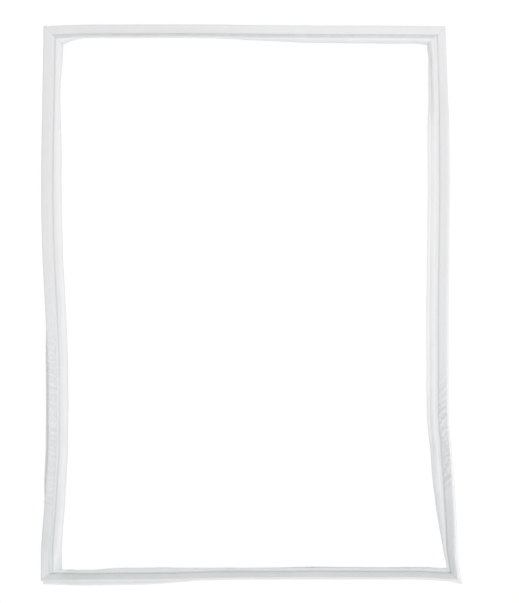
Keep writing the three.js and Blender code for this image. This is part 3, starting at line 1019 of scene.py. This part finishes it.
class GASKET_OT_add_seal_body(bpy.types.Operator):
    """Adds the PVC seal body: one skin with its air chamber, magnet pocket and air holes"""

    bl_idname = "gasket.add_seal_body"
    bl_label = "Add Seal Body"

    def execute(self, context):
        scene = context.scene
        sweep = swept(scene)
        size = scene.gasket_section
        grids = {name: sweep.rings[:, sweep.slices[name]].copy() for name in ("seal", "pocket", "chamber")}
        weld = weld_share(sweep)
        regions = sweep.regions
        beaded = np.array([0.0 if region in ("dart", "base") else 1.0 for region in regions])
        puckers = pucker_heights(sweep)
        push = (puckers + unevenness(sweep)) * MM
        push += weld[:, None] * beaded[None, :] * size.weld_height
        grids["seal"] = grids["seal"] + grid_normals(grids["seal"]) * push[:, :, None]
        grids["seal"][:, :, 2] = np.maximum(grids["seal"][:, :, 2], 0.0)
        count = len(sweep.rings)
        tables = {}
        faces = {}
        at = 0
        for name, grid in grids.items():
            width = grid.shape[1]
            tables[name] = at + np.arange(count * width).reshape(count, width)
            faces[name] = grid_faces(at, count, width)
            at += count * width
        hole = regions.index("base") + 1
        low_ends = ((hole, 1), (CHAMBER_FLOOR_VENT, 1))
        high_ends = ((CHAMBER_ROOF_VENT, -1), (POCKET_VENT, 1))
        lower, cut_lower = pierce(sweep, grids, tables, "seal", "chamber", *low_ends)
        upper, cut_upper = pierce(sweep, grids, tables, "chamber", "pocket", *high_ends)
        dropped = cut_lower + cut_upper
        vertices = np.concatenate([grid.reshape(-1, 3) for grid in grids.values()])
        quads = []
        for name, table in faces.items():
            keep = np.ones(table.shape[:2], bool)
            for skin, row, column in dropped:
                if skin == name:
                    keep[row, column] = False
            quads += table[keep].tolist()
        seal = mesh_object("gasket_seal_body", vertices.tolist(), quads + lower + upper)
        inside = np.zeros(len(vertices) - count * len(regions))
        for name, values in seal_marks(sweep, puckers, weld).items():
            add_mark(seal.data, name, np.concatenate((values, inside)))
        seal.data.materials.append(pvc_material(scene.gasket_finish, shared_group()))
        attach(seal, "root")
        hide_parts("seal_body")
        return {"FINISHED"}


class GASKET_OT_add_magnet_strips(bpy.types.Operator):
    """Adds the four magnetic strips, each inside its side's pocket"""

    bl_idname = "gasket.add_magnet_strips"
    bl_label = "Add Magnetic Strips"

    def execute(self, context):
        scene = context.scene
        sweep = swept(scene)
        stop = scene.gasket_section.magnet_stop / MM
        material = magnet_material(scene.gasket_finish, shared_group())
        for name in SIDE_ORDER:
            mine = [
                n
                for n, side in enumerate(sweep.ring_side)
                if side == name and stop - LEEWAY <= sweep.ring_at[n] <= sweep.ring_length[n] - stop + LEEWAY
            ]
            rings = sweep.rings[mine][:, sweep.slices["magnet"]]
            count, width = rings.shape[:2]
            quads = grid_faces(0, count, width)[: count - 1].reshape(-1, 4).tolist()
            caps = [list(range(width)), list(range((count - 1) * width, count * width))[::-1]]
            strip = mesh_object(f"magnet_{name}", rings.reshape(-1, 3).tolist(), quads + caps)
            strip.data.materials.append(material)
            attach(strip, "root")
            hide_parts(f"magnet_strip_{name}")
        return {"FINISHED"}


class GASKET_OT_add_stage(bpy.types.Operator):
    """Adds the pale floor, the lamps and a camera that looks straight down"""

    bl_idname = "gasket.add_stage"
    bl_label = "Add Stage"

    def execute(self, context):
        scene = context.scene
        stage = scene.gasket_stage
        ends = (-FLOOR_REACH, FLOOR_REACH)
        corners = [(x, y, FLOOR_DROP) for x, y in zip(ends + ends[::-1], (ends[0],) * 2 + (ends[1],) * 2)]
        mesh = bpy.data.meshes.new("floor")
        mesh.from_pydata(corners, [], [(0, 1, 2, 3)])
        floor = bpy.data.objects.new("floor", mesh)
        scene.collection.objects.link(floor)
        mesh.materials.append(floor_material(stage.floor_glow))
        add_lamp("key_lamp", KEY_PLACE, KEY_SIZE, stage.key_power)
        add_lamp("fill_lamp", FILL_PLACE, FILL_SIZE, stage.fill_power)
        add_sky(scene, stage.sky_strength)
        add_camera(scene, stage)
        scene.view_settings.view_transform = "Standard"
        return {"FINISHED"}


def add_lamp(name, place, size, power):
    """A square area lamp that faces the middle of the floor."""
    lamp = bpy.data.lights.new(name, "AREA")
    lamp.shape = "SQUARE"
    lamp.size = size
    lamp.energy = power
    made = bpy.data.objects.new(name, lamp)
    made.location = place
    made.rotation_euler = made.location.to_track_quat("Z", "Y").to_euler()
    bpy.context.scene.collection.objects.link(made)


def add_sky(scene, strength):
    """Even white light, which the camera and reflections see as plain white."""
    scene.world = bpy.data.worlds.new("even_white")
    scene.world.use_nodes = True
    scene.world.node_tree.nodes.clear()
    node = node_adder(scene.world.node_tree)
    light = node("ShaderNodeBackground", {"Color": WHITE, "Strength": strength}).outputs["Background"]
    plain = node("ShaderNodeBackground", {"Color": WHITE}).outputs["Background"]
    mix = node("ShaderNodeMixShader", {"Fac": seen_plainly(node), 1: light, 2: plain}).outputs["Shader"]
    node("ShaderNodeOutputWorld", {"Surface": mix})


def add_camera(scene, stage):
    """A camera straight above, whose picture takes in the stage's view from top to bottom."""
    data = bpy.data.cameras.new("view_from_above")
    data.sensor_width = SENSOR
    data.lens = data.sensor_width * stage.view_height / stage.view_tall
    data.clip_end = CLIP_END
    camera = bpy.data.objects.new("view_from_above", data)
    camera.location = (stage.view_right, stage.view_up, stage.view_height)
    scene.collection.objects.link(camera)
    scene.camera = camera


class GASKET_PT_panel(bpy.types.Panel):
    """The gasket's sizes and operators in the sidebar"""

    bl_idname = "GASKET_PT_panel"
    bl_label = "Door Gasket"
    bl_space_type = "VIEW_3D"
    bl_region_type = "UI"
    bl_category = "Gasket"

    def draw(self, context):
        layout = self.layout
        for name in GROUPS:
            group = getattr(context.scene, name)
            box = layout.box()
            box.label(text=name.removeprefix("gasket_").capitalize())
            for key in group.__annotations__:
                box.prop(group, key)
        for operator in OPERATORS:
            layout.operator(operator.bl_idname)


GROUPS = {
    "gasket_frame": GasketFrameSizes,
    "gasket_section": GasketSectionSizes,
    "gasket_finish": GasketFinish,
    "gasket_stage": GasketStage,
}
OPERATORS = (GASKET_OT_add_seal_body, GASKET_OT_add_magnet_strips, GASKET_OT_add_stage)
CLASSES = (*GROUPS.values(), *OPERATORS, GASKET_PT_panel)


def register():
    for cls in CLASSES:
        bpy.utils.register_class(cls)
    for name, group in GROUPS.items():
        setattr(bpy.types.Scene, name, bpy.props.PointerProperty(type=group))


def unregister():
    for name in GROUPS:
        delattr(bpy.types.Scene, name)
    for cls in reversed(CLASSES):
        bpy.utils.unregister_class(cls)


def main():
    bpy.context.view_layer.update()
    register()
    bpy.ops.gasket.add_seal_body()
    bpy.ops.gasket.add_magnet_strips()
    bpy.ops.gasket.add_stage()
    bpy.context.view_layer.update()


if __name__ == "__main__":
    main()
